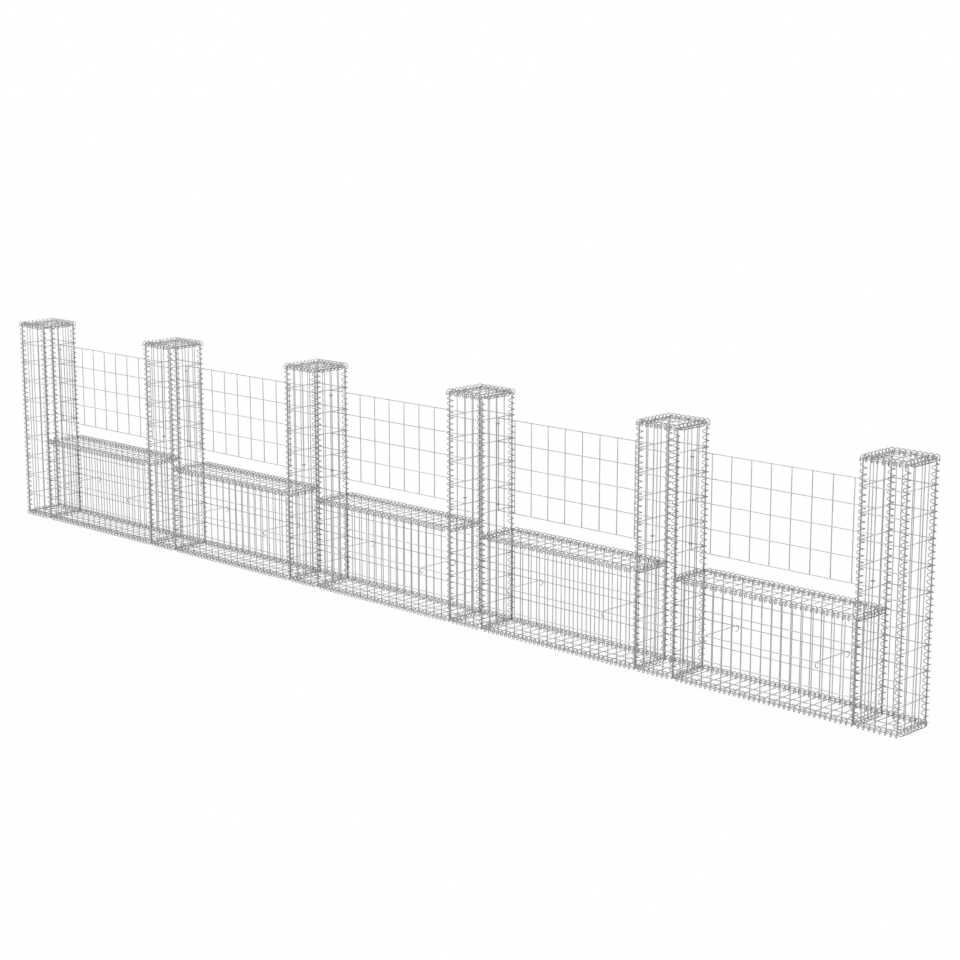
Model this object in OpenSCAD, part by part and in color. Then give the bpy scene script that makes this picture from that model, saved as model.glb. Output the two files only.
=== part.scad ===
// Gabion wall: six square mesh posts joined by five low mesh baskets, with an open mesh screen in
// each bay above the basket. Every edge where panels meet is laced with a spiral binder.
// X runs along the wall, Y through its depth from front to back and Z up. The origin is at the
// middle of the footprint, on the level that the lowest binders rest on.

/* [Mesh] */
// Diameter of the welded mesh wire; the bars are square of the same width
wire = 4; // [3:0.5:5]
// Width of one mesh cell, between upright wires
cell_w = 47.5; // [45:0.5:55]
// Height of one mesh cell, between level wires
cell_h = 100; // [90:1:110]

/* [Layout] */
// Number of posts in the row
post_count = 6; // [2:1:6]
// Cells along each side of a post
post_cells = 4; // [4:1:6]
// Cells in the height of a post
post_rows = 10; // [8:1:12]
// Cells along the length of a bay
bay_cells = 18; // [12:2:20]
// Cells in the height of the basket in a bay
basket_rows = 4; // [3:1:5]

/* [Screens] */
// Mesh row at which the screen's lowest wire lies
screen_bottom_row = 5; // [5:1:6]
// Mesh row at which the screen's highest wire lies
screen_top_row = 9; // [8:1:9]
// Length of one screen cell, in mesh cells
screen_step = 2; // [1:1:2]
// Distance of the screens behind the middle of the wall
screen_back = 6; // [4:0.5:6.5]

/* [Binders] */
// Outer diameter of the spiral binders
coil_d = 30; // [24:1:34]
// Clear gap left between the ends of binders that follow each other
coil_gap = 1; // [0.5:0.5:3]
// Wire diameter of the rings that hold a screen to a post
ring_wire = 3; // [2:0.5:3]
// Inner diameter of those rings
ring_bore = 12; // [12:0.5:16]
// Distance of the rings from the screen's top and bottom wires
ring_inset = 25; // [15:1:40]

/* [Ties] */
// Distance of each tie from the end of its bay, in mesh cells
tie_cells = 3.5; // [2.5:1:5.5]
// Mesh row whose level wires the ties hang on
tie_row = 2; // [1:1:2]
// Radius of a tie's hook, to the middle of the wire
hook_r = 12; // [8:1:14]
// Angle that a hook turns through
hook_angle = 215; // [180:5:240]

/* [Hidden] */
steel = "gainsboro";
bright_steel = "silver";
half = wire / 2;
coil_r = coil_d / 2;
ring_r = (ring_bore + ring_wire) / 2;
post_w = post_cells * cell_w;
bay_w = bay_cells * cell_w;
pitch = post_w + bay_w;
bay_count = post_count - 1;
length = bay_count * pitch + post_w;
depth = post_w;
post_h = post_rows * cell_h;
basket_h = basket_rows * cell_h;
// The base panels lie one binder radius above the ground
base_z = coil_r;
// Binders are octagonal bars, so that the lowest ones have a flat underside; this is across corners
octagon_d = coil_d / cos(22.5);
// Half length of the binders that run through the depth, clear of the long ones
cross_end = depth / 2 - coil_r - coil_gap;
// Ends of the corner binders, clear of the ones around the base and the rim
corner_z0 = base_z + coil_r + coil_gap;
corner_z1 = base_z + post_h - coil_r - coil_gap;
tie_inset = tie_cells * cell_w;
// The hooks start just outside the level wires they hang on
tie_end = depth / 2 + wire;
// Level panels have one long wire along the middle of the depth
depth_rungs = [-depth / 2, 0, depth / 2];

POST_NODES = [for (i = [1 : post_count]) each [
    str("post_", i, "_front_back_panels"),
    str("post_", i, "_side_panels"),
    str("post_", i, "_corner_spirals")]];
BAY_NODES = [for (i = [1 : bay_count]) each [
    str("bay_", i, "_front_back_panels"),
    str("bay_", i, "_base_and_lid"),
    str("bay_", i, "_rim_spirals"),
    str("bay_", i, "_screen")]];

function post_x(i) = -length / 2 + (i - 1) * pitch;
function bay_x(i) = post_x(i) + post_w;
// Wire centres across a panel: the whole cells between its two edge wires
function rungs(low, high, count) = [for (k = [0 : count]) low + (high - low) * k / count];
// The same across a bay, whose edge wires lie beside those of the posts
function bay_rungs(i, count) = rungs(bay_x(i) + wire, bay_x(i) + bay_w - wire, count);
// Level wires of a wall panel: edge wires just inside the base and lid, the others on whole rows
function levels(rows) = [for (k = [0 : rows])
    k == 0 ? wire : k == rows ? rows * cell_h - wire : k * cell_h];

// A welded mesh panel in the XY plane, with bars centred on the given lines
module mesh(across, up) {
    last_a = len(across) - 1;
    last_u = len(up) - 1;
    linear_extrude(wire, center = true)
        difference() {
            translate([across[0] - half, up[0] - half])
                square([across[last_a] - across[0] + wire, up[last_u] - up[0] + wire]);
            for (a = [0 : last_a - 1], u = [0 : last_u - 1])
                translate([across[a] + half, up[u] + half])
                    square([across[a + 1] - across[a] - wire, up[u + 1] - up[u] - wire]);
        }
}

// A panel that faces the front, at distance y
module front_panel(across, up, y)
    translate([0, y, 0]) rotate([90, 0, 0]) mesh(across, up);

// A panel that faces along the wall, at distance x
module side_panel(across, up, x)
    translate([x, 0, 0]) rotate([90, 0, 90]) mesh(across, up);

// A level panel at height z
module level_panel(across, up, z)
    translate([0, 0, z]) mesh(across, up);

// Cross section of a binder at an outside edge, where one panel leaves along the first axis and one
// along the second; a and b are the sides they leave on, and the section fills the other three quarters
module edge_section(a, b)
    difference() {
        octagon();
        translate([a > 0 ? -half : half - coil_d, b > 0 ? -half : half - coil_d])
            square(coil_d);
    }

// Cross section where panels leave on both sides of the first axis and on side b of the second
module junction_section(b)
    intersection() {
        octagon();
        translate([-coil_r, b > 0 ? -half - coil_d : half])
            square(coil_d);
    }

// Cross section in the one quarter between a wall and a lid that meets it, on the sides a and b
module inner_section(a, b)
    intersection() {
        octagon();
        translate([a > 0 ? half : -half - coil_d, b > 0 ? half : -half - coil_d])
            square(coil_d);
    }

module octagon()
    rotate(22.5)
        circle(d = octagon_d, $fn = 8);

// Carries a cross section along X, with its first axis on Y and its second on Z
module along_x(x0, x1, y, z)
    translate([x0, y, z]) rotate([90, 0, 90]) linear_extrude(x1 - x0) children();

// Carries a cross section through the depth between the long binders, with its axes on X and Z
module along_y(x, z)
    translate([x, cross_end, z]) rotate([90, 0, 0]) linear_extrude(2 * cross_end) children();

// Carries a cross section upwards, with its axes on X and Y
module along_z(x, y, z0, z1)
    translate([x, y, z0]) linear_extrude(z1 - z0) children();

module post_front_back_panels(i)
    color(steel)
        for (y = [-depth / 2, depth / 2])
            translate([0, 0, base_z])
                front_panel(rungs(post_x(i), post_x(i) + post_w, post_cells), levels(post_rows), y);

module post_side_panels(i)
    color(steel)
        for (x = [post_x(i), post_x(i) + post_w])
            translate([0, 0, base_z])
                side_panel(rungs(wire - depth / 2, depth / 2 - wire, post_cells), levels(post_rows), x);

// Panels that close all posts at one height
module post_level_panels(z)
    color(steel)
        for (i = [1 : post_count])
            level_panel(rungs(post_x(i), post_x(i) + post_w, post_cells), depth_rungs, z);

module bay_front_back_panels(i)
    color(steel)
        for (y = [-depth / 2, depth / 2])
            translate([0, 0, base_z])
                front_panel(bay_rungs(i, bay_cells), levels(basket_rows), y);

module bay_base_and_lid(i)
    color(steel)
        for (z = [base_z, base_z + basket_h])
            level_panel(bay_rungs(i, bay_cells), depth_rungs, z);

module bay_screen(i)
    color(steel)
        translate([0, screen_back, base_z])
            front_panel(bay_rungs(i, bay_cells / screen_step),
                [for (k = [screen_bottom_row : screen_top_row]) k * cell_h], 0);

// Binders up the four corners of a post: half round where a basket meets the post, and round the
// whole outside of the corner above the basket and on the row's free ends
module post_corner_spirals(i)
    color(bright_steel)
        for (side = [-1, 1], face = [-1, 1]) {
            x = side < 0 ? post_x(i) : post_x(i) + post_w;
            y = face * depth / 2;
            free_end = (i == 1 && side < 0) || (i == post_count && side > 0);
            split = free_end ? corner_z0 : base_z + basket_h + coil_r + coil_gap;
            along_z(x, y, split, corner_z1) edge_section(-side, -face);
            if (!free_end)
                along_z(x, y, corner_z0, split) junction_section(-face);
        }

module post_rim_spirals()
    color(bright_steel)
        for (i = [1 : post_count]) {
            top = base_z + post_h;
            for (face = [-1, 1])
                along_x(post_x(i) - coil_r, post_x(i) + post_w + coil_r, face * depth / 2, top)
                    edge_section(-face, -1);
            along_y(post_x(i), top) edge_section(1, -1);
            along_y(post_x(i) + post_w, top) edge_section(-1, -1);
        }

module bay_rim_spirals(i)
    color(bright_steel) {
        top = base_z + basket_h;
        inset = coil_r + coil_gap;
        for (face = [-1, 1])
            along_x(bay_x(i) + inset, bay_x(i) + bay_w - inset, face * depth / 2, top)
                edge_section(-face, -1);
        along_y(bay_x(i), top) inner_section(1, 1);
        along_y(bay_x(i) + bay_w, top) inner_section(-1, 1);
    }

// The long binders that the wall stands on, in lengths of one post or one bay
module base_edge_spirals()
    color(bright_steel)
        for (face = [-1, 1]) {
            for (i = [1 : post_count])
                along_x(post_x(i) - (i == 1 ? coil_r : 0),
                        post_x(i) + post_w + (i == post_count ? coil_r : 0), face * depth / 2, base_z)
                    edge_section(-face, 1);
            for (i = [1 : bay_count])
                along_x(bay_x(i) + coil_gap, bay_x(i) + bay_w - coil_gap, face * depth / 2, base_z)
                    edge_section(-face, 1);
        }

// Binders through the depth at both feet of each post
module base_cross_spirals()
    color(bright_steel)
        for (i = [1 : post_count], side = [-1, 1]) {
            x = side < 0 ? post_x(i) : post_x(i) + post_w;
            if ((i == 1 && side < 0) || (i == post_count && side > 0))
                along_y(x, base_z) edge_section(-side, 1);
            else
                along_y(x + side * half, base_z) junction_section(1);
        }

// One hook in the YZ plane, from its top outwards and down; side is the side of the wall it is on
module hook(side)
    rotate([90, 0, 90])
        rotate(side < 0 ? 90 : 90 - hook_angle)
            rotate_extrude(angle = hook_angle)
                translate([hook_r, 0])
                    circle(d = wire);

// Ties through the depth of each basket, hooked over a level wire of its front and back panels
module tie_wires()
    color(bright_steel)
        for (i = [1 : bay_count], x = [bay_x(i) + tie_inset, bay_x(i) + bay_w - tie_inset])
            translate([x, 0, base_z + tie_row * cell_h + wire]) {
                translate([0, tie_end, 0])
                    rotate([90, 0, 0])
                        cylinder(h = 2 * tie_end, d = wire);
                for (side = [-1, 1])
                    translate([0, side * tie_end, -hook_r])
                        hook(side);
            }

// Rings that hold the end wires of each screen to the middle wires of the posts' side panels
module screen_rings()
    color(bright_steel)
        for (i = [1 : bay_count],
             x = [bay_x(i) + half, bay_x(i) + bay_w - half],
             z = [screen_bottom_row * cell_h + ring_inset, screen_top_row * cell_h - ring_inset])
            translate([x, screen_back / 2, base_z + z])
                rotate_extrude()
                    translate([ring_r, 0])
                        circle(d = ring_wire);

for (i = [1 : post_count]) {
    post_front_back_panels(i);
    post_side_panels(i);
    post_corner_spirals(i);
}
for (i = [1 : bay_count]) {
    bay_front_back_panels(i);
    bay_base_and_lid(i);
    bay_rim_spirals(i);
    bay_screen(i);
}
post_level_panels(base_z);  // post_bases
post_level_panels(base_z + post_h);  // post_lids
post_rim_spirals();
base_edge_spirals();
base_cross_spirals();
tie_wires();
screen_rings();
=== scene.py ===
import math

import bpy
import numpy as np
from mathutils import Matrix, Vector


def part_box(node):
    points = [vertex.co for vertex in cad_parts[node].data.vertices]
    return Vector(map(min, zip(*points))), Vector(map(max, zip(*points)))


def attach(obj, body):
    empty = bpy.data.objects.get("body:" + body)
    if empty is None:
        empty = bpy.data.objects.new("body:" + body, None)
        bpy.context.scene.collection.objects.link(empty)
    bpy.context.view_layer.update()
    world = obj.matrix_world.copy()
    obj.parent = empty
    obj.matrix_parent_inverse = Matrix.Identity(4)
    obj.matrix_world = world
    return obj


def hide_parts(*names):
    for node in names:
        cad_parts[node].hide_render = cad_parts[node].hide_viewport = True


# Finish and fine wire work of a gabion wall: welded mesh posts, baskets and screens, with every edge
# where panels meet laced by a spiral binder. Lengths are in metres.

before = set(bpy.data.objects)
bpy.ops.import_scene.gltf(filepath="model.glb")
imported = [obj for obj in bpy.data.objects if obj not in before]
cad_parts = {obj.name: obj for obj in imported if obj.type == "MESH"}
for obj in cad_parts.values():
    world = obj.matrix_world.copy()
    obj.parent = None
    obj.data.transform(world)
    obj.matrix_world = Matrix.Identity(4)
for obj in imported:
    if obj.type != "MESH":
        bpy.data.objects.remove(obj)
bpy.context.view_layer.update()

# Wires
MESH_WIRE = 0.004
BINDER_WIRE = 0.003
RING_WIRE = 0.003
# Depth that crossing wires are pressed into each other when they are welded
WELD_PRESS = 0.0003
# Length of a mesh wire beyond the middle of the panel's edge wire
OVERHANG = 0.0015
# Bevel that the shears leave on a cut end, and what it leaves of the wire's radius there
CUT_BEVEL = 0.0005
CUT_RADIUS_SHARE = 0.75
# A weld: half its height, and its radius at one end, in the middle and at the other end
WELD_HALF = 0.0014
WELD_RADII = np.array([0.0016, 0.0027, 0.0016])
# Typical distance that a wire strays sideways in its panel, and the most that each of the three
# parts of a panel's bulge may be
WIRE_STRAY = 0.0004
BULGE_PART = 0.001

# Faces round each kind of wire
MESH_SIDES = 8
WELD_SIDES = 6
BINDER_SIDES = 7
TIE_SIDES = 10
RING_SIDES = 8
# Points along a hook and along a ring
HOOK_POINTS = 15
RING_POINTS = 24

# Cells of the panels
POST_CELLS = 4
POST_ROWS = 10
BAY_CELLS = 18
BASKET_ROWS = 4
SCREEN_CELLS = 9
SCREEN_ROWS = 4

# Binders
COIL_GAP = 0.001
TURNS_PER_CELL = 2
TURNS_PER_ROW = 4
STEPS_PER_TURN = 16
# Distance that the upright binders sit inside the corner they lace
CORNER_LEAN = 0.004
# Radians by which a binder's turns drift to either side along it, and the number of turns in which
# that wave goes on by a radian
TURN_DRIFT = 0.18
DRIFT_TURNS = 5.3
# Share by which a binder's radius wanders to either side, and the same number for that wave
RADIUS_WANDER = 0.025
WANDER_TURNS = 2.7
# Share of a turn over which a binder closes at its ends, and share of its radius left there
CRIMP_TURN = 1 / 3
CRIMP_RADIUS = 0.5

# Ties and screen rings
TIE_CELLS = 3.5
TIE_ROW = 2
HOOK_RADIUS = 0.012
HOOK_TURN = math.radians(215)
RING_RADIUS = 0.0075
RING_OPENING = math.radians(24)
RING_INSET = 0.025

# Studio: the floor's grey and its own glow, the strength of the light from the horizon and from
# overhead, and the sun's strength, width and turn
FLOOR_GREY = 0.03
FLOOR_GLOW = 0.931
HORIZON_LIGHT = 0.4
OVERHEAD_LIGHT = 2.6
SUN_STRENGTH = 0.9
SUN_WIDTH = math.radians(25)
SUN_TURN = (math.radians(38), math.radians(-14), math.radians(20))

# Camera: its place, from the middle of the wall at the height of the base wires, its tilt and
# heading, and its lens in mm
CAMERA_PLACE = (6.843, -6.603, 2.517)
CAMERA_TILT = math.radians(78.261)
CAMERA_HEADING = math.radians(43.769)
CAMERA_LENS = 81.67

X, Y, Z = np.eye(3)
rng = np.random.default_rng(11)


# ---------------------------------------------------------------- places, from the frame


def wire_centres(node):
    """Lowest and highest wire centres of a mesh node: its box less half a wire all round."""
    low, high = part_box(node)
    return np.array(low) + MESH_WIRE / 2, np.array(high) - MESH_WIRE / 2


def rungs(low, high, cells):
    """Wire centres across a panel, one more than its cells."""
    return np.linspace(low, high, cells + 1)


POST_COUNT = sum(name.endswith("corner_spirals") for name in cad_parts)
BAY_COUNT = POST_COUNT - 1
BASE_Z = wire_centres("post_bases")[0][2]
LID_Z = wire_centres("post_lids")[0][2]
ROW = (LID_Z - BASE_Z) / POST_ROWS
BASKET_Z = BASE_Z + BASKET_ROWS * ROW
COIL_R = BASE_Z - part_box("base_edge_spirals")[0].z
COIL_LINE = COIL_R - BINDER_WIRE / 2
POSTS = [wire_centres(f"post_{i}_front_back_panels") for i in range(1, POST_COUNT + 1)]
BAYS = [wire_centres(f"bay_{i}_front_back_panels") for i in range(1, BAY_COUNT + 1)]
SCREENS = [wire_centres(f"bay_{i}_screen") for i in range(1, BAY_COUNT + 1)]
BACK_Y = POSTS[0][1][1]
SIDE_Y = wire_centres("post_1_side_panels")[1][1]
CROSS_END = BACK_Y - COIL_R - COIL_GAP
CELL = (POSTS[0][1][0] - POSTS[0][0][0]) / POST_CELLS


def wall_levels(rows):
    """Heights of a wall panel's level wires: the outer two just inside the base and the lid."""
    heights = BASE_Z + ROW * np.arange(rows + 1)
    heights[0] += MESH_WIRE
    heights[-1] -= MESH_WIRE
    return heights


# ---------------------------------------------------------------- surfaces


def sweep(paths, across, radius, sides):
    """Round wires along paths, an array of wires by points by 3, closed with a cap at both ends.
    With t the direction of a path at its point p, u = across x t and v = t x u, all unit vectors,
    the surface is p + radius (u cos a + v sin a), for a once round. Radius is one value or one for
    each point. The result has one more axis, for a."""
    t = np.gradient(paths, axis=1)
    t /= np.linalg.norm(t, axis=2, keepdims=True)
    u = np.cross(across, t)
    u /= np.linalg.norm(u, axis=2, keepdims=True)
    v = np.cross(t, u)
    a = (np.arange(sides) * 2 * math.pi / sides)[:, None]
    radius = np.broadcast_to(radius, paths.shape[:2])[..., None, None]
    return paths[:, :, None] + radius * (np.cos(a) * u[:, :, None] + np.sin(a) * v[:, :, None])


def stations(low, high, bends):
    """Places along a cut wire, with one more at each end where its bevel starts."""
    inner = np.linspace(low + CUT_BEVEL, high - CUT_BEVEL, bends)
    return np.concatenate([[low], inner, [high]])


def bevelled(wire, bends):
    """Radius at each of those places: full, and a share of it at the cut faces."""
    radius = np.full(bends + 2, wire / 2)
    radius[[0, -1]] *= CUT_RADIUS_SHARE
    return radius


def welded_panel(axes, origin, across, up, bends=(7, 7)):
    """A welded panel. Its axes are e1 along it, e2 up it and e3 out of it. Standing wires run along
    e2 at each value of across; level wires run along e1 at each value of up and lie on them on the
    side of e3. A point is origin + s e1 + t e2 + (h + w) e3, where w = (c1 + c2 cos pi u + c3 cos
    pi v) sin pi u sin pi v is a shallow bulge, u and v going from 0 to 1 between the edge wires. A
    short barrel of weld metal sits at each crossing, with its axis along e3."""
    e1, e2, e3 = axes
    c = rng.uniform(-1, 1, 3) * BULGE_PART
    across, up = (line + np.pad(rng.normal(0, WIRE_STRAY, len(line) - 2), 1) for line in (across, up))

    def place(s, t, h):
        s, t, h = np.broadcast_arrays(s, t, h)
        u = np.clip((s - across[0]) / (across[-1] - across[0]), 0, 1) * math.pi
        v = np.clip((t - up[0]) / (up[-1] - up[0]), 0, 1) * math.pi
        w = (c[0] + c[1] * np.cos(u) + c[2] * np.cos(v)) * np.sin(u) * np.sin(v)
        return origin + s[..., None] * e1 + t[..., None] * e2 + (h + w)[..., None] * e3

    lift = MESH_WIRE - WELD_PRESS
    standing = place(across[:, None], stations(up[0] - OVERHANG, up[-1] + OVERHANG, bends[1]), 0)
    level = place(stations(across[0] - OVERHANG, across[-1] + OVERHANG, bends[0]), up[:, None], lift)
    s, t = (line.reshape(-1, 1) for line in np.meshgrid(across, up))
    welds = place(s, t, lift / 2 + np.array([-WELD_HALF, 0, WELD_HALF]))
    return [
        sweep(standing, e1, bevelled(MESH_WIRE, bends[1]), MESH_SIDES),
        sweep(level, e2, bevelled(MESH_WIRE, bends[0]), MESH_SIDES),
        sweep(welds, e1, WELD_RADII, WELD_SIDES),
    ]


def spirals(starts, axis, length, middle, first_wire, pitch, lean=0.0):
    """Left-handed spiral binders about lines that leave each of the starts along axis. A point is
    start + lean m + s axis + r (m cos a + (m x axis) sin a), with a = 2 pi ((s - first_wire) / pitch
    - 1/2), so that the turns pass m, the middle of the panels they lace, half way between cross
    wires. The radius r wanders inwards by a few hundredths, and closes to a crimped end over the
    last part of a turn."""
    starts, middle = np.atleast_2d(starts), np.asarray(middle, float)
    middle = middle / np.linalg.norm(middle, axis=-1, keepdims=True)
    middle = np.broadcast_to(middle, starts.shape)[:, None]
    # The cut faces stay half a wire inside the ends of the run
    margin = BINDER_WIRE / 2
    s = np.linspace(margin, length - margin, round(length / pitch * STEPS_PER_TURN) + 1)
    a = 2 * math.pi * ((s - first_wire) / pitch - 0.5)
    wander, phase = rng.uniform(0, 2 * math.pi, (2, len(starts), 1))
    a = a + TURN_DRIFT * np.sin(s / (DRIFT_TURNS * pitch) + phase)
    crimp = np.clip((np.minimum(s, length - s) - margin) / (pitch * CRIMP_TURN), 0, 1)
    r = COIL_LINE * (1 - RADIUS_WANDER + RADIUS_WANDER * np.sin(s / (WANDER_TURNS * pitch) + wander))
    r = (r * (CRIMP_RADIUS + (1 - CRIMP_RADIUS) * np.sin(crimp * math.pi / 2)))[..., None]
    turning = middle * np.cos(a)[..., None] + np.cross(middle, axis) * np.sin(a)[..., None]
    paths = starts[:, None] + lean * middle + s[:, None] * axis + r * turning
    return sweep(paths, axis, BINDER_WIRE / 2, BINDER_SIDES)


def hooked_ties(xs, z):
    """Ties through the depth, lying at height z and bent down at both ends round the level wires.
    Each hook is an arc of HOOK_RADIUS that starts at the top and turns outwards by HOOK_TURN."""
    end = BACK_Y + MESH_WIRE
    turn = np.linspace(0, HOOK_TURN, HOOK_POINTS)
    hook = np.stack([end + HOOK_RADIUS * np.sin(turn), z - HOOK_RADIUS * (1 - np.cos(turn))], 1)
    line = np.concatenate([hook[::-1] * [-1, 1], hook])
    paths = np.empty((len(xs), len(line), 3))
    paths[:, :, 0] = np.array(xs)[:, None]
    paths[:, :, 1:] = line
    return sweep(paths, X, MESH_WIRE / 2, TIE_SIDES)


def open_rings(centres):
    """Level rings of RING_RADIUS that are squeezed shut up to a small opening."""
    centres = np.array(centres)
    start = rng.uniform(0, 2 * math.pi, (len(centres), 1))
    a = start + np.linspace(0, 2 * math.pi - RING_OPENING, RING_POINTS)
    circle = np.stack([np.cos(a), np.sin(a), 0 * a], 2) * RING_RADIUS
    return sweep(centres[:, None] + circle, Z, RING_WIRE / 2, RING_SIDES)


# ---------------------------------------------------------------- meshes


def wire_faces(count, points, sides, first):
    """Corner lists of swept wires: quads between neighbouring rings, and a cap at either end."""
    ring = first + np.arange(count * points * sides).reshape(count, points, sides)
    near = np.roll(ring, -1, axis=2)
    quads = np.stack([ring[:, :-1], near[:, :-1], near[:, 1:], ring[:, 1:]], -1).reshape(-1, 4)
    caps = np.concatenate([ring[:, 0, ::-1], ring[:, -1]])
    return quads, caps


def make_piece(name, surfaces, material, nodes):
    """One object from swept surfaces, which rides on the root and stands for its CAD nodes. Each
    wire has a value of its own between 0 and 1 in the attribute wire_tone."""
    corners, starts, smooth, tones = [], [], [], []
    first, total = 0, 0
    for grid in surfaces:
        count, points, sides = grid.shape[:3]
        for faces, is_side in zip(wire_faces(count, points, sides, first), (True, False)):
            corners.append(faces.ravel())
            starts.append(total + np.arange(len(faces)) * faces.shape[1])
            smooth.append(np.full(len(faces), is_side))
            total += faces.size
        tones.append(np.repeat(rng.uniform(0, 1, count), points * sides))
        first += grid.size // 3
    mesh = bpy.data.meshes.new(name)
    mesh.vertices.add(first)
    mesh.vertices.foreach_set("co", np.concatenate([g.ravel() for g in surfaces]))
    mesh.loops.add(total)
    mesh.loops.foreach_set("vertex_index", np.concatenate(corners))
    mesh.polygons.add(sum(len(s) for s in starts))
    mesh.polygons.foreach_set("loop_start", np.concatenate(starts))
    mesh.polygons.foreach_set("use_smooth", np.concatenate(smooth))
    mesh.update(calc_edges=True)
    tone = mesh.attributes.new("wire_tone", "FLOAT", "POINT")
    tone.data.foreach_set("value", np.concatenate(tones).astype(np.float32))
    mesh.materials.append(material)
    piece = bpy.data.objects.new(name, mesh)
    bpy.context.scene.collection.objects.link(piece)
    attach(piece, "root")
    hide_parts(*nodes)
    return piece


# ---------------------------------------------------------------- shared effects


def new_group(name, inputs, outputs):
    """An empty shader group, with its input and output nodes. Inputs are (name, kind, value)."""
    tree = bpy.data.node_groups.new(name, "ShaderNodeTree")
    for label, kind, value in inputs:
        socket = tree.interface.new_socket(name=label, in_out="INPUT", socket_type=kind)
        if value is not None:
            socket.default_value = value
    for label, kind in outputs:
        tree.interface.new_socket(name=label, in_out="OUTPUT", socket_type=kind)
    return tree, tree.nodes.new("NodeGroupInput"), tree.nodes.new("NodeGroupOutput")


def noise(tree, position, scale, detail=3.0):
    node = tree.nodes.new("ShaderNodeTexNoise")
    node.inputs["Detail"].default_value = detail
    tree.links.new(position, node.inputs["Vector"])
    tree.links.new(scale, node.inputs["Scale"])
    return node.outputs["Fac"]


def remap(tree, value, low, high, to_low, to_high):
    """Value carried from low..high to to_low..to_high, and held at those ends."""
    node = tree.nodes.new("ShaderNodeMapRange")
    tree.links.new(value, node.inputs["Value"])
    for label, number in (("From Min", low), ("From Max", high), ("To Min", to_low), ("To Max", to_high)):
        node.inputs[label].default_value = number
    return node.outputs["Result"]


def mix(tree, factor, first, second):
    node = tree.nodes.new("ShaderNodeMix")
    node.data_type = "RGBA"
    for source, label in ((factor, 0), (first, 6), (second, 7)):
        tree.links.new(source, node.inputs[label])
    return node.outputs[2]


def add_zinc_colour():
    """Zinc coating: each wire lies between a fresh and a dull grey, with a pale bloom in patches."""
    tree, given, result = new_group("zinc_colour", [
        ("Position", "NodeSocketVector", None),
        ("Fresh", "NodeSocketColor", (0.6, 0.6, 0.6, 1)),
        ("Dull", "NodeSocketColor", (0.3, 0.3, 0.3, 1)),
        ("Bloom", "NodeSocketColor", (0.7, 0.7, 0.7, 1)),
        ("Patch Scale", "NodeSocketFloat", 30.0),
        ("Spangle Scale", "NodeSocketFloat", 400.0),
    ], [("Color", "NodeSocketColor"), ("Bloom Mask", "NodeSocketFloat")])
    tone = tree.nodes.new("ShaderNodeAttribute")
    tone.attribute_name = "wire_tone"
    spangle = noise(tree, given.outputs["Position"], given.outputs["Spangle Scale"], 2.0)
    blend = tree.nodes.new("ShaderNodeMath")
    blend.operation = "MULTIPLY_ADD"
    tree.links.new(remap(tree, spangle, 0.35, 0.65, 0.0, 1.0), blend.inputs[0])
    blend.inputs[1].default_value = 0.45
    tree.links.new(remap(tree, tone.outputs["Fac"], 0.0, 1.0, 0.0, 0.55), blend.inputs[2])
    base = mix(tree, blend.outputs[0], given.outputs["Fresh"], given.outputs["Dull"])
    patches = noise(tree, given.outputs["Position"], given.outputs["Patch Scale"], 4.0)
    bloom = remap(tree, patches, 0.52, 0.7, 0.0, 0.6)
    tree.links.new(mix(tree, bloom, base, given.outputs["Bloom"]), result.inputs["Color"])
    tree.links.new(bloom, result.inputs["Bloom Mask"])
    return tree


def add_drawn_surface():
    """Drawn and dipped wire: roughness that rises under the bloom, and a fine uneven height."""
    tree, given, result = new_group("drawn_surface", [
        ("Position", "NodeSocketVector", None),
        ("Bloom Mask", "NodeSocketFloat", 0.0),
        ("Grain Scale", "NodeSocketFloat", 900.0),
    ], [("Roughness", "NodeSocketFloat"), ("Height", "NodeSocketFloat")])
    grain = noise(tree, given.outputs["Position"], given.outputs["Grain Scale"], 3.0)
    rough = tree.nodes.new("ShaderNodeMath")
    rough.operation = "MULTIPLY_ADD"
    tree.links.new(given.outputs["Bloom Mask"], rough.inputs[0])
    rough.inputs[1].default_value = 0.35
    tree.links.new(remap(tree, grain, 0.3, 0.7, 0.34, 0.5), rough.inputs[2])
    tree.links.new(rough.outputs[0], result.inputs["Roughness"])
    tree.links.new(grain, result.inputs["Height"])
    return tree


def galvanised(name, fresh, dull, bloom, metallic, bump):
    """A zinc-coated wire finish: the shared colour and surface, with the three greys given for this wire.
    For the binders these greys are the zinc's colour darkened by painted shade.
    """
    material = bpy.data.materials.new(name)
    material.use_nodes = True
    tree = material.node_tree
    shader = tree.nodes["Principled BSDF"]
    shader.inputs["Metallic"].default_value = metallic
    place = tree.nodes.new("ShaderNodeTexCoord").outputs["Object"]
    colour, surface = (tree.nodes.new("ShaderNodeGroup") for _ in range(2))
    colour.node_tree, surface.node_tree = ZINC_COLOUR, DRAWN_SURFACE
    for label, value in (("Fresh", fresh), ("Dull", dull), ("Bloom", bloom)):
        colour.inputs[label].default_value = (value, value, value, 1)
    for node in (colour, surface):
        tree.links.new(place, node.inputs["Position"])
    tree.links.new(colour.outputs["Bloom Mask"], surface.inputs["Bloom Mask"])
    tree.links.new(colour.outputs["Color"], shader.inputs["Base Color"])
    tree.links.new(surface.outputs["Roughness"], shader.inputs["Roughness"])
    relief = tree.nodes.new("ShaderNodeBump")
    relief.inputs["Strength"].default_value = bump
    relief.inputs["Distance"].default_value = 0.0002
    tree.links.new(surface.outputs["Height"], relief.inputs["Height"])
    tree.links.new(relief.outputs["Normal"], shader.inputs["Normal"])
    return material


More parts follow.
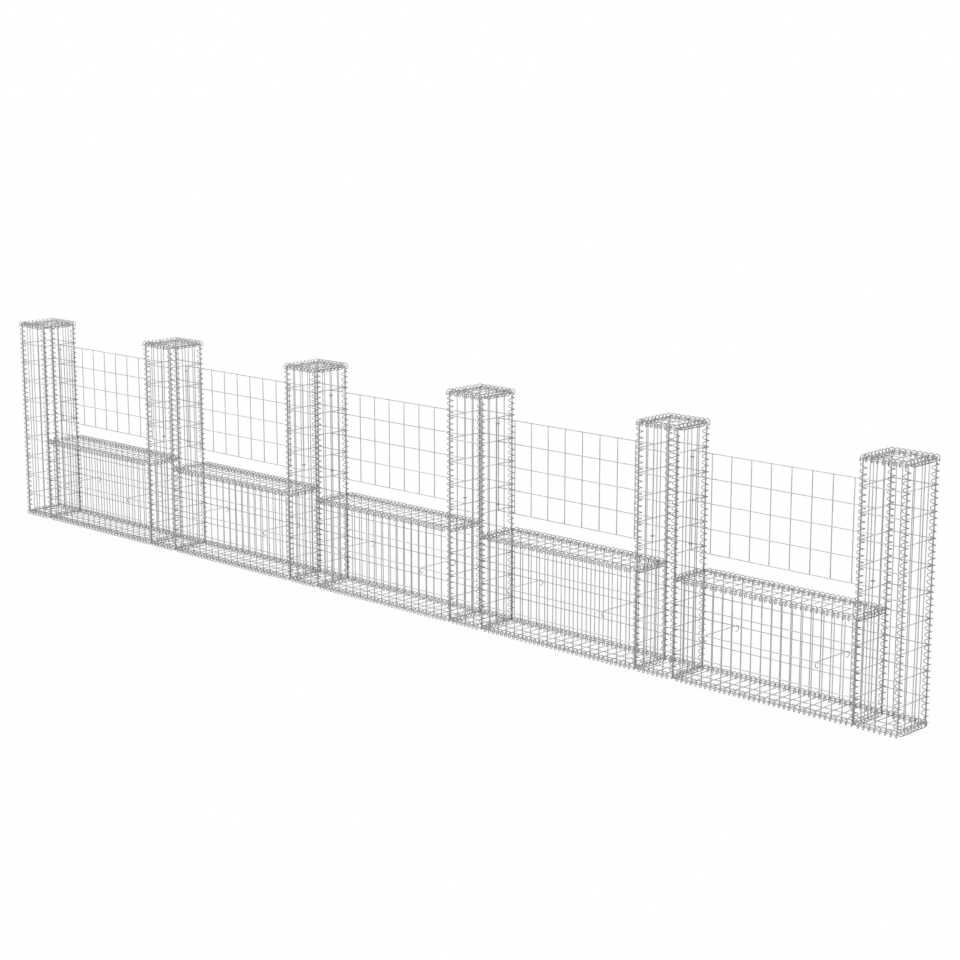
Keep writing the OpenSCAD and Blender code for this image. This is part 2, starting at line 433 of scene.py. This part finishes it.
ZINC_COLOUR = add_zinc_colour()
DRAWN_SURFACE = add_drawn_surface()
MESH_ZINC = galvanised("mesh_zinc", fresh=0.45, dull=0.3, bloom=0.54, metallic=0.7, bump=0.35)
# The binder's greys, about half the mesh's, are the zinc's colour plus painted shade that stands in for
# the shaded turns of the coils
SHADED_BINDER_ZINC = galvanised("binder_zinc_painted_shade", fresh=0.225, dull=0.125, bloom=0.345, metallic=0.8, bump=0.25)
TIE_ZINC = galvanised("tie_zinc", fresh=0.47, dull=0.31, bloom=0.55, metallic=0.8, bump=0.25)


def mesh_piece(name, panels):
    """A piece of welded mesh from its panels, standing for the node of the same name."""
    surfaces = [surface for panel in panels for surface in panel]
    return make_piece(name, surfaces, MESH_ZINC, [name])


# ---------------------------------------------------------------- welded mesh


def front_back(low, high, cells, rows):
    """A panel on the front and one on the back, with their level wires outside."""
    across = rungs(low[0], high[0], cells)
    return [
        welded_panel((X, Z, face * Y), face * BACK_Y * Y, across, wall_levels(rows))
        for face in (-1, 1)
    ]


def post_sides(low, high):
    """The two side panels of a post, with their level wires inside."""
    across = rungs(-SIDE_Y, SIDE_Y, POST_CELLS)
    return [
        welded_panel((Y, Z, inward * X), x * X, across, wall_levels(POST_ROWS), bends=(3, 7))
        for x, inward in ((low[0], 1), (high[0], -1))
    ]


def level_panel(low, high, cells, z, out):
    """A base or a lid: cross wires at each cell and three long wires, on the side given by out."""
    depth = rungs(-BACK_Y, BACK_Y, 2)
    bends = (max(3, cells // 2), 3)
    return welded_panel((X, Y, out * Z), z * Z, rungs(low[0], high[0], cells), depth, bends)


for i, (low, high) in enumerate(POSTS, 1):
    mesh_piece(f"post_{i}_front_back_panels", front_back(low, high, POST_CELLS, POST_ROWS))
    mesh_piece(f"post_{i}_side_panels", post_sides(low, high))

for i, (low, high) in enumerate(BAYS, 1):
    mesh_piece(f"bay_{i}_front_back_panels", front_back(low, high, BAY_CELLS, BASKET_ROWS))
    base = level_panel(low, high, BAY_CELLS, BASE_Z, -1)
    lid = level_panel(low, high, BAY_CELLS, BASKET_Z, 1)
    mesh_piece(f"bay_{i}_base_and_lid", [base, lid])

for i, (low, high) in enumerate(SCREENS, 1):
    screen = welded_panel((X, Z, -Y), low[1] * Y, rungs(low[0], high[0], SCREEN_CELLS),
                          rungs(low[2], high[2], SCREEN_ROWS))
    mesh_piece(f"bay_{i}_screen", [screen])

mesh_piece("post_bases", [level_panel(low, high, POST_CELLS, BASE_Z, -1) for low, high in POSTS])
mesh_piece("post_lids", [level_panel(low, high, POST_CELLS, LID_Z, 1) for low, high in POSTS])


# ---------------------------------------------------------------- spiral binders


def binder_piece(name, surfaces):
    return make_piece(name, surfaces, SHADED_BINDER_ZINC, [name])


def along_x(x0, x1, y, z, up, first_wire, pitch):
    """A binder along the wall, on the edge at y and z, round a wall panel and a level panel; up says
    which way the wall panel leaves."""
    return spirals([x0, y, z], X, x1 - x0, [0, -math.copysign(1, y), up], first_wire - x0, pitch)


def along_y(x, z, middle):
    """A binder through the depth, between the two long ones."""
    pitch = 2 * SIDE_Y / POST_CELLS / TURNS_PER_CELL
    return spirals([x, -CROSS_END, z], Y, 2 * CROSS_END, middle, CROSS_END - SIDE_Y, pitch)


def along_z(x, y, z0, z1, middle):
    return spirals([x, y, z0], Z, z1 - z0, middle, BASE_Z - z0, ROW / TURNS_PER_ROW, CORNER_LEAN)


def corner_binders(i, low, high):
    """The four upright binders of a post. Beside a basket they also take in its panel, so there they
    are a length of their own."""
    split = BASKET_Z + COIL_R + COIL_GAP
    foot, head = BASE_Z + COIL_R + COIL_GAP, LID_Z - COIL_R - COIL_GAP
    made = []
    for x, side in ((low[0], -1), (high[0], 1)):
        free_end = (i == 1 and side < 0) or (i == POST_COUNT and side > 0)
        for face in (-1, 1):
            y = face * BACK_Y
            made.append(along_z(x, y, foot if free_end else split, head, [-side, -face, 0]))
            if not free_end:
                made.append(along_z(x, y, foot, split - COIL_GAP, [0, -face, 0]))
    return made


def post_rim():
    made = []
    pitch = CELL / TURNS_PER_CELL
    for low, high in POSTS:
        for y in (-BACK_Y, BACK_Y):
            made.append(along_x(low[0] - COIL_R, high[0] + COIL_R, y, LID_Z, -1, low[0], pitch))
        made.append(along_y(low[0], LID_Z, [1, 0, -1]))
        made.append(along_y(high[0], LID_Z, [-1, 0, -1]))
    return made


def bay_rim(low, high):
    pitch = (high[0] - low[0]) / BAY_CELLS / TURNS_PER_CELL
    face_low, face_high = low[0] - MESH_WIRE, high[0] + MESH_WIRE
    inset = COIL_R + COIL_GAP
    made = [
        along_x(face_low + inset, face_high - inset, y, BASKET_Z, -1, low[0], pitch)
        for y in (-BACK_Y, BACK_Y)
    ]
    return made + [along_y(face_low, BASKET_Z, [1, 0, 0]), along_y(face_high, BASKET_Z, [-1, 0, 0])]


def base_edges():
    made = []
    for y in (-BACK_Y, BACK_Y):
        for i, (low, high) in enumerate(POSTS, 1):
            x0 = low[0] - (COIL_R if i == 1 else 0)
            x1 = high[0] + (COIL_R if i == POST_COUNT else 0)
            made.append(along_x(x0, x1, y, BASE_Z, 1, low[0], CELL / TURNS_PER_CELL))
        for low, high in BAYS:
            pitch = (high[0] - low[0]) / BAY_CELLS / TURNS_PER_CELL
            x0, x1 = low[0] - MESH_WIRE + COIL_GAP, high[0] + MESH_WIRE - COIL_GAP
            made.append(along_x(x0, x1, y, BASE_Z, 1, low[0], pitch))
    return made


def base_crossings():
    """Binders through the depth at both feet of each post."""
    made = []
    for i, (low, high) in enumerate(POSTS, 1):
        for x, side in ((low[0], -1), (high[0], 1)):
            free_end = (i == 1 and side < 0) or (i == POST_COUNT and side > 0)
            made.append(along_y(x, BASE_Z, [-side, 0, 1] if free_end else [0, 0, 1]))
    return made


for i, (low, high) in enumerate(POSTS, 1):
    binder_piece(f"post_{i}_corner_spirals", corner_binders(i, low, high))
for i, (low, high) in enumerate(BAYS, 1):
    binder_piece(f"bay_{i}_rim_spirals", bay_rim(low, high))
binder_piece("post_rim_spirals", post_rim())
binder_piece("base_edge_spirals", base_edges())
binder_piece("base_cross_spirals", base_crossings())


# ---------------------------------------------------------------- ties and screen rings

tie_places, ring_places = [], []
for low, high in BAYS:
    face_low, face_high = low[0] - MESH_WIRE, high[0] + MESH_WIRE
    tie_places += [face_low + TIE_CELLS * CELL, face_high - TIE_CELLS * CELL]
for low, high in SCREENS:
    for x in (low[0] - MESH_WIRE / 2, high[0] + MESH_WIRE / 2):
        ring_places += [(x, low[1] / 2, z) for z in (low[2] + RING_INSET, high[2] - RING_INSET)]

tie_z = BASE_Z + TIE_ROW * ROW + MESH_WIRE
make_piece("tie_wires", [hooked_ties(tie_places, tie_z)], TIE_ZINC, ["tie_wires"])
binder_piece("screen_rings", [open_rings(ring_places)])


# ---------------------------------------------------------------- stage


def studio_floor(size=60.0):
    """A plain pale floor at the level that the wall stands on, lit from below as well as from above,
    as a light table is, so that the wires cast next to no shadow on it."""
    mesh = bpy.data.meshes.new("studio_floor")
    corners = [(-size, -size, 0), (size, -size, 0), (size, size, 0), (-size, size, 0)]
    mesh.from_pydata(corners, [], [(0, 1, 2, 3)])
    material = bpy.data.materials.new("floor_paint")
    material.use_nodes = True
    shader = material.node_tree.nodes["Principled BSDF"]
    shader.inputs["Base Color"].default_value = (FLOOR_GREY, FLOOR_GREY, FLOOR_GREY, 1)
    shader.inputs["Emission Color"].default_value = (1, 1, 1, 1)
    shader.inputs["Emission Strength"].default_value = FLOOR_GLOW
    shader.inputs["Roughness"].default_value = 0.9
    shader.inputs["Specular IOR Level"].default_value = 0.0
    mesh.materials.append(material)
    floor = bpy.data.objects.new("studio_floor", mesh)
    bpy.context.scene.collection.objects.link(floor)


def studio_light():
    """White surroundings that are brighter overhead than at the horizon, and one broad soft sun."""
    world = bpy.data.worlds.new("studio")
    bpy.context.scene.world = world
    world.use_nodes = True
    tree = world.node_tree
    tree.nodes.clear()
    place = tree.nodes.new("ShaderNodeTexCoord")
    parts = tree.nodes.new("ShaderNodeSeparateXYZ")
    tree.links.new(place.outputs["Generated"], parts.inputs[0])
    glow = tree.nodes.new("ShaderNodeBackground")
    height = parts.outputs["Z"]
    strength = remap(tree, height, -0.1, 0.9, HORIZON_LIGHT, OVERHEAD_LIGHT)
    tree.links.new(strength, glow.inputs["Strength"])
    plain = tree.nodes.new("ShaderNodeBackground")
    plain.inputs["Color"].default_value = (1, 1, 1, 1)
    glow.inputs["Color"].default_value = (1, 1, 1, 1)
    seen = tree.nodes.new("ShaderNodeLightPath")
    choose = tree.nodes.new("ShaderNodeMixShader")
    tree.links.new(seen.outputs["Is Camera Ray"], choose.inputs[0])
    tree.links.new(glow.outputs[0], choose.inputs[1])
    tree.links.new(plain.outputs[0], choose.inputs[2])
    output = tree.nodes.new("ShaderNodeOutputWorld")
    tree.links.new(choose.outputs[0], output.inputs["Surface"])
    sun = bpy.data.lights.new("soft_sun", "SUN")
    sun.energy = SUN_STRENGTH
    sun.angle = SUN_WIDTH
    lamp = bpy.data.objects.new("soft_sun", sun)
    lamp.rotation_euler = SUN_TURN
    bpy.context.scene.collection.objects.link(lamp)


def set_camera():
    camera = bpy.data.objects.new("camera", bpy.data.cameras.new("camera"))
    camera.location = CAMERA_PLACE
    camera.location.z += BASE_Z
    camera.rotation_euler = (CAMERA_TILT, 0, CAMERA_HEADING)
    camera.data.lens = CAMERA_LENS
    camera.data.sensor_width = 36
    camera.data.clip_end = 200
    bpy.context.scene.collection.objects.link(camera)
    bpy.context.scene.camera = camera


studio_floor()
studio_light()
set_camera()
bpy.context.scene.view_settings.view_transform = "Standard"
